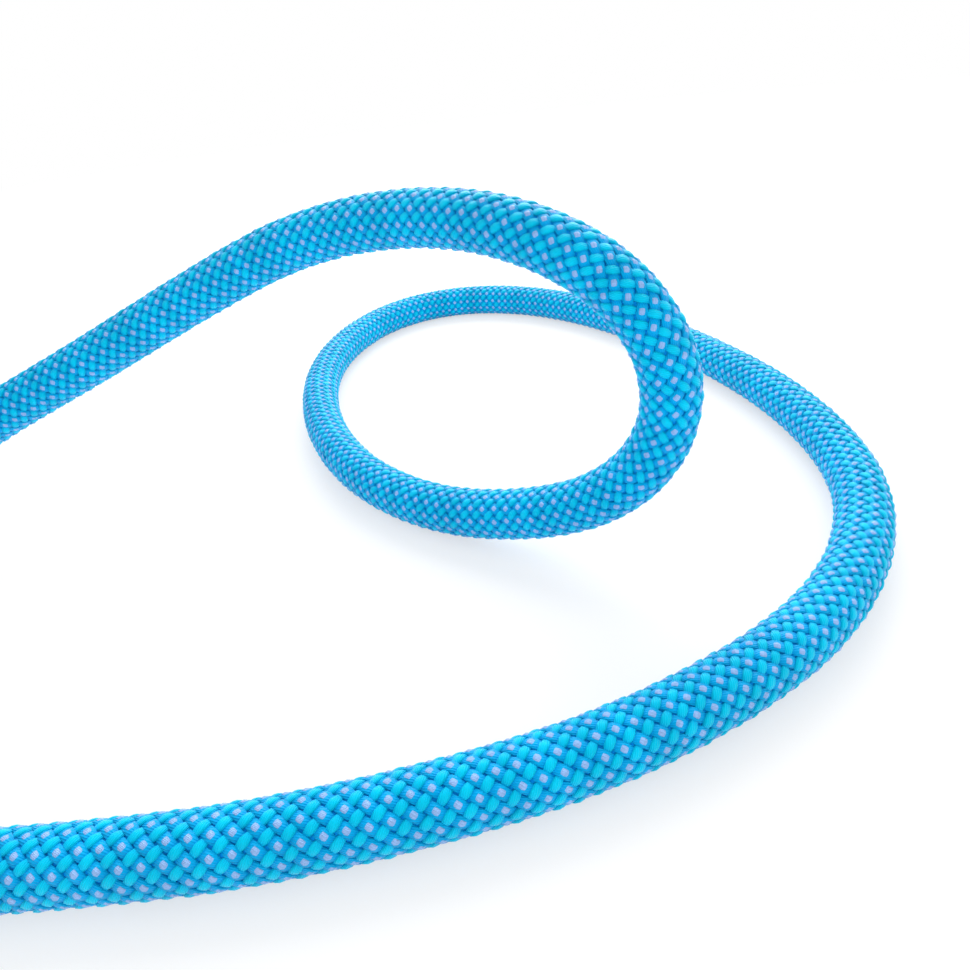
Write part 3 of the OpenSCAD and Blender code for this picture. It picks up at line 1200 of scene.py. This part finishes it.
@dataclass
class Core:
    """The twelve strands inside the sheath, one of them a marker thread."""

    layout: RopeLayout
    sheath_wall: float = 1.1 * MM
    strand_gap: float = 0.2 * MM
    marker_diameter: float = 1.2 * MM
    play: float = 0.05 * MM
    sheath_sides: int = 12
    strand_sides: int = 8
    in_ring: int = 9
    in_middle: int = 3

    def places(self) -> list[tuple[float, float]]:
        """Sizes the strands and lays them out, three in the middle and then the ring.

        Returns:
            Where each strand lies across the rope.
        """
        room = (self.layout.radius - self.sheath_wall) * math.cos(math.pi / self.sheath_sides)
        half_step = math.sin(math.pi / self.in_ring)
        self.strand = (2 * half_step * (room - self.play) - self.strand_gap) / (1 + half_step)
        ring = room - self.play - self.strand / 2
        middle = (self.strand + self.play) / (2 * math.sin(math.pi / self.in_middle))
        turns = [(middle, i / self.in_middle + 0.5 / self.in_ring) for i in range(self.in_middle)]
        turns += [(ring, i / self.in_ring) for i in range(self.in_ring)]
        return [(r * math.cos(FULL_TURN * t), r * math.sin(FULL_TURN * t)) for r, t in turns]

    def build(self) -> None:
        """Builds the strands along the free stretch, the marker thread last."""
        line, places = self.layout.free_line(), self.places()
        white = StrandFinish("plied polyamide, white", "#EEEDE6").material()
        crimson = StrandFinish("plied polyamide, crimson", "#C01E30").material()
        plain = [(f"core_strand_{i + 1:02d}", self.strand, white, Slot.CORE)
                 for i in range(len(places) - 1)]
        marker = ("marker_thread", self.marker_diameter, crimson, Slot.MARKER)
        for (aside, up), (node, diameter, material, slot) in zip(places, [*plain, marker]):
            strand = closed_tube(f"{node}_plied", line.shifted(aside, up), diameter / 2, material,
                                 self.strand_sides, rings_per_cell=0.5)
            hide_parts(node)
            settle([strand])


@dataclass
class CoiledLength:
    """The wound length: loops with the relief of the weave and plainer turns inside."""

    layout: RopeLayout
    relief: float = 0.4 * MM
    lengths: int = 3
    lining_sides: int = 8
    inner_sides: int = 10

    def build(self) -> None:
        """Builds the loops in a few lengths round one lining, and the inner turns."""
        finish = BraidFinish("braided polyamide, cyan with lilac", "#00D2F6", "#00A0E8", "#0092E2",
                             "#94C0FF", "#50E4FF").material()
        radius, diameter = self.layout.radius, self.layout.diameter
        coil, inner = self.layout.coil_line(), self.layout.inner_line()
        lining = closed_tube("coil_lining", coil, radius - 3 * self.relief, finish,
                             self.lining_sides, rings_per_cell=0.5)
        cuts = [round(i * (len(coil.points) - 1) / self.lengths) for i in range(self.lengths + 1)]
        # The relief needs points on every crest and every crossing
        parts = [closed_tube(f"outer_loops_{i + 1}", coil.part(cuts[i], cuts[i + 1]), radius, finish,
                             2 * WEAVE.carriers, rings_per_cell=2.0, relief=self.relief)
                 for i in range(self.lengths)]
        turns = closed_tube("inner_loops", inner, radius, finish, self.inner_sides,
                            rings_per_cell=1.0)
        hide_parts("rope_coil")
        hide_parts("inner_turns")
        settle([lining, *parts, turns])
        coil.length()
        inner.length()


class WallPoint(NamedTuple):
    """A point in the middle of a strap's wall: its place, its normal and the way to it."""

    out: float
    up: float
    normal_out: float
    normal_up: float
    way: float


@dataclass
class HoldingStrap:
    """A hook-and-loop strap round the bundle, with its sewn end on top."""

    layout: RopeLayout
    angle: float
    width: float = 20 * MM
    overlap: float = 26 * MM
    edge: float = 0.4 * MM
    edge_steps: int = 3
    face_steps: int = 8
    ramp: float = 5 * MM
    step: float = 1.5 * MM
    hem: float = 4 * MM
    seam_margin: float = 1.5 * MM
    seam_steps: int = 24
    stitch: float = 2.6 * MM
    stitches: YarnSet = YarnSet(
        Hand.STRAIGHT, mean_radius=-0.12 * MM, wave_height=0.25 * MM, sharpness=0.5,
        width=0.45 * MM, thickness=0.45 * MM, neck=0.8, crest_at=0.5, sides=6, rings_per_cell=8)

    def path(self) -> list[WallPoint]:
        """Lays the wall once round the bundle, from its top, and on over its own first part.

        Returns:
            Points in the middle of the wall.
        """
        layout, nudge = self.layout, 1e-6
        inside = layout.radius + layout.tie_clear + layout.tie_wall / 2
        round_way = 4 * layout.quarter
        top = (3 * layout.quarter + layout.bend - self.overlap) / 2
        line, way, last = [], 0.0, None
        count = round((round_way + self.overlap) / self.step)
        for i in range(count + 1):
            s = (round_way + self.overlap) * i / count
            reach = inside + layout.tie_wall * eased((s - round_way) / self.ramp + 1)
            (x, z), (x2, z2) = layout.on_square(top + s), layout.on_square(top + s + nudge)
            nx, nz = (z2 - z) / nudge, -(x2 - x) / nudge
            here = (x + reach * nx, z + reach * nz)
            way += math.dist(here, last) if last else 0
            last = here
            line.append(WallPoint(*here, nx, nz, way))
        return line

    def place(self, at: WallPoint, y: float, depth: float) -> Vector:
        """A point of the strap in the row's frame.

        Args:
            at: Point in the middle of the wall, at mid width.
            y: Distance from the strap's middle line.
            depth: Distance outward from the middle of the wall.

        Returns:
            The point.
        """
        layout = self.layout
        reach = layout.coil_radius + at.out + depth * at.normal_out
        point = Vector((math.sqrt(reach ** 2 - y ** 2), y,
                        layout.coil_z + at.up + depth * at.normal_up))
        return Matrix.Rotation(self.angle, 3, "Z") @ point + layout.centre

    def profile(self) -> list[tuple[float, float]]:
        """Draws the outline of the wall, with round edges.

        Returns:
            Points across the strap and outward from its middle.
        """
        half, wall, r, n = self.width / 2, self.layout.tie_wall / 2, self.edge, self.face_steps
        flat = [(half - r) * (2 * i / n - 1) for i in range(1, n)]
        y, t = half - r, wall - r
        return [*((x, wall) for x in flat), *arc((y, t), r, 90, -90, self.edge_steps),
                *arc((y, -t), r, 0, -90, self.edge_steps), *((-x, -wall) for x in flat),
                *arc((-y, -t), r, -90, -90, self.edge_steps),
                *arc((-y, t), r, 180, -90, self.edge_steps)]

    def build(self, node: str, webbing: Material, thread: Material) -> None:
        """Builds the strap with its stitched hem.

        Args:
            node: The solid that the strap stands for.
            webbing: Material of the strap.
            thread: Material of the stitches.
        """
        line, profile = self.path(), self.profile()
        rings = [[self.place(at, y, t) for y, t in profile] for at in line]
        strap = skinned(f"{node}_strap", rings, [at.way for at in line],
                        [y for y, _ in [*profile, profile[0]]])
        strap.data.materials.append(webbing)
        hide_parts(node)
        seams = [self.seam(f"{node}_seam_{i + 1}", line, line[-1].way - self.hem * (i + 0.6), thread)
                 for i in range(2)]
        bpy.context.view_layer.update()
        settle([strap, *seams])
        for seam in seams:
            seam.parent = strap

    def seam(self, name: str, line: list[WallPoint], way: float, thread: Material) -> Object:
        """Sews a row of stitches across the strap.

        Args:
            name: Name of the row.
            line: The strap's path.
            way: Distance of the row along the strap.
            thread: Material of the stitches.

        Returns:
            The row.
        """
        at = min(line, key=lambda point: abs(point.way - way))
        skin, half, n = self.layout.tie_wall / 2, self.width / 2 - self.seam_margin, self.seam_steps
        points = [self.place(at, half * (2 * i / n - 1), skin) for i in range(n + 1)]
        outward = (self.place(at, 0, 1) - self.place(at, 0, 0)).normalized()
        row = Centreline(points, [outward.copy() for _ in points])
        row.cells = round(row.length() / self.stitch)
        return self.stitches.wind(name, row, thread)


@dataclass
class RopeEnd:
    """One end of the rope: the film shrunk over it and the melted tip."""

    layout: RopeLayout
    mark: str
    point: Vector
    way: Vector
    sides: int = 48
    sleeve_steps: int = 40
    lip_steps: int = 8
    edge: float = 1 * MM
    edge_steps: int = 6
    flank: float = 0.5 * MM
    waver: float = 0.06 * MM

    def __post_init__(self) -> None:
        """Works out the share of the way round at each point of a ring."""
        self.around = [k / self.sides for k in range(self.sides + 1)]

    def ring(self, along: float, radius: float, uneven: float = 0.0) -> list[Vector]:
        """Points round the end's own axis.

        Args:
            along: Distance from the end of the yarns, outward.
            radius: Radius of the ring.
            uneven: How much the ring's height wavers.

        Returns:
            The points.
        """
        turn = self.way.to_track_quat("Z", "Y")
        points = []
        for share in self.around[:-1]:
            a = FULL_TURN * share
            lift = uneven * (math.sin(2 * a + 0.7) + 0.6 * math.sin(3 * a + 2.1))
            points.append(self.point + turn @ Vector((radius * math.cos(a), radius * math.sin(a),
                                                      along + lift)))
        return points

    def sleeve(self) -> Object:
        """Builds the sleeve, a wall with round lips.

        Returns:
            The sleeve.
        """
        layout, n, lip = self.layout, self.sleeve_steps, self.layout.sleeve_wall / 2
        top = layout.tip_length - layout.tip_proud
        low = top - layout.sleeve_length
        middle = layout.sleeve_radius - lip
        outside = [(low + lip + (top - low - 2 * lip) * i / n, layout.sleeve_radius)
                   for i in range(1, n)]
        profile = [*arc((low + lip, middle), lip, 270, -180, self.lip_steps), *outside,
                   *arc((top - lip, middle), lip, 90, -180, self.lip_steps)]
        return skinned(f"end_sleeve_{self.mark}_film", [self.ring(z, r) for z, r in profile],
                       [z / WEAVE.cell for z, _ in [*profile, profile[0]]], self.around, looped=True)

    def tip(self) -> Object:
        """Builds the tip, with a soft edge and a face that melted unevenly.

        Returns:
            The tip.
        """
        length, radius = self.layout.tip_length, self.layout.radius - self.layout.sleeve_clear
        edge = arc((radius - self.edge, length - self.edge), self.edge, 0, 90, self.edge_steps)
        face = [(0.6 * radius, length + 0.05 * MM), (0.3 * radius, length - 0.1 * MM)]
        shape = [(radius, 0.0), (radius, self.flank), *edge, *face]
        rings = [self.ring(z, r, self.waver if z > length - self.flank else 0.0) for r, z in shape]
        return skinned(f"fused_tip_{self.mark}_melt", rings, [z for _, z in shape], self.around)

    def build(self, film: Material, melt: Material) -> None:
        """Builds the sleeve and the tip and dresses them.

        Args:
            film: Material of the sleeve.
            melt: Material of the tip.
        """
        sleeve, tip = self.sleeve(), self.tip()
        sleeve.data.materials.append(film)
        tip.data.materials.append(melt)
        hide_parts(f"end_sleeve_{self.mark}")
        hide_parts(f"fused_tip_{self.mark}")
        settle([sleeve])
        settle([tip])


# ---------------------------------------------------------------- camera and room


@dataclass(frozen=True)
class Lamp:
    """A soft rectangular lamp: its place, its power in watts and its width and height."""

    name: str
    place: tuple[float, float, float]
    energy: float
    size: tuple[float, float]


@dataclass(frozen=True)
class Studio:
    """Camera, pale floor and soft light."""

    lens: float = 25.0
    sensor: float = 36.0
    clip: tuple[float, float] = (0.005, 20.0)
    camera_at: tuple[float, float, float] = (0.152876, -0.133149, 0.084)
    look_down: float = 33.2
    roll: float = 8.0
    floor_half: float = 6.0
    glow_share: float = 0.6
    glow_fade: tuple[float, float] = (0.3, 0.9)
    sky: float = 0.92
    aim: tuple[float, float, float] = (0.12, 0.02, 0.02)
    lamps: tuple[Lamp, ...] = (Lamp("top lamp", (0.3, 0.7, 0.6), 8.0, (0.8, 0.8)),
                               Lamp("low front lamp", (0.5, -0.8, 0.25), 0.8, (1.6, 0.4)),
                               Lamp("low back lamp", (0.4, 1.0, 0.25), 2.0, (1.6, 0.4)))

    def build_camera(self) -> None:
        """Sets the camera at the low angle over the near strand."""
        data = bpy.data.cameras.new("camera")
        data.lens, data.sensor_width = self.lens, self.sensor
        data.clip_start, data.clip_end = self.clip
        camera = linked("camera", data)
        camera.location = self.camera_at
        tilt = Euler((math.radians(90 - self.look_down), 0, 0)).to_matrix()
        turn = Matrix.Rotation(math.radians(-self.roll), 3, "Z")
        camera.rotation_euler = (tilt @ turn).to_euler()
        bpy.context.scene.camera = camera

    def build_floor(self) -> None:
        """Lays a white floor that keeps a faint shadow of the rope."""
        mesh, r = bpy.data.meshes.new("floor"), self.floor_half
        mesh.from_pydata([(-r, -r, 0), (r, -r, 0), (r, r, 0), (-r, r, 0)], [], [(0, 1, 2, 3)])
        floor = linked("floor", mesh)
        # Flat paint with no shine
        material, tree, shader = new_material("white painted board")
        add = partial(add_node, tree)
        set_inputs(tree, shader, {"Base Color": WHITE, "Roughness": 0.9,
                                  "Specular IOR Level": 0.0})
        glow = add("ShaderNodeEmission", {"Color": WHITE, "Strength": 1.0})
        # The board turns plain white away from the rope, so it shows no edge
        place = add("ShaderNodeTexCoord").outputs["Object"]
        far = add("ShaderNodeVectorMath", {0: place}, operation="LENGTH")
        near, away = self.glow_fade
        share = add("ShaderNodeMapRange", {0: far, 1: near, 2: away, 3: self.glow_share, 4: 1.0})
        seen = add("ShaderNodeMath", {0: seen_by_camera(tree), 1: share}, operation="MULTIPLY")
        mixed = add("ShaderNodeMixShader", {"Fac": seen, 1: shader, 2: glow})
        set_inputs(tree, tree.nodes["Material Output"], {"Surface": mixed})
        mesh.materials.append(material)

    def build_light(self) -> None:
        """Sets a soft white sky, a lamp above and two low lamps that reach under the rope."""
        scene = bpy.context.scene
        scene.view_settings.view_transform = "Standard"
        scene.world = bpy.data.worlds.new("soft white room")
        scene.world.use_nodes = True
        tree = scene.world.node_tree
        strength = add_node(tree, "ShaderNodeMapRange",
                            {0: seen_by_camera(tree), 3: self.sky, 4: 1.0})
        set_inputs(tree, tree.nodes["Background"],
                   {"Strength": strength, "Color": WHITE})
        for lamp in self.lamps:
            data = bpy.data.lights.new(lamp.name, "AREA")
            data.shape = "RECTANGLE"
            data.energy, (data.size, data.size_y) = lamp.energy, lamp.size
            obj = linked(lamp.name, data)
            obj.location = lamp.place
            away = Vector(lamp.place) - Vector(self.aim)
            obj.rotation_euler = away.to_track_quat("Z", "Y").to_euler()
            obj.visible_camera = False


def seen_by_camera(tree: NodeTree) -> Node:
    """Adds a value that is 1 for rays that show the surroundings, and 0 for light.

    Args:
        tree: Tree that gets the nodes.

    Returns:
        The node that gives the value.
    """
    ray = add_node(tree, "ShaderNodeLightPath").outputs
    seen = ray["Is Camera Ray"]
    for other in ("Is Glossy Ray", "Is Transmission Ray"):
        seen = add_node(tree, "ShaderNodeMath", {0: seen, 1: ray[other]}, operation="MAXIMUM")
    return seen


def main() -> None:
    """Builds the rope and its setting."""
    logging.basicConfig(level=logging.INFO)
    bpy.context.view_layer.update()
    studio = Studio()
    studio.build_camera()
    studio.build_floor()
    studio.build_light()
    layout = RopeLayout()
    webbing = WebbingFinish().material()
    thread = YarnFinish("sewing thread, grey", "#5A6068", "#3A4048", "#A0A8B0").material()
    for i, degrees in enumerate(STRAP_ANGLES):
        HoldingStrap(layout, math.radians(degrees)).build(f"tie_{i + 1}", webbing, thread)
    film, melt = SleeveFinish().material(), MeltFinish().material()
    free, (tail_end, tail_way) = layout.free_line(), layout.tail()
    RopeEnd(layout, "a", free.points[0], -free.directions()[0]).build(film, melt)
    RopeEnd(layout, "b", tail_end, tail_way).build(film, melt)
    BraidedStretch(layout).build()
    Core(layout).build()
    CoiledLength(layout).build()


if __name__ == "__main__":
    main()
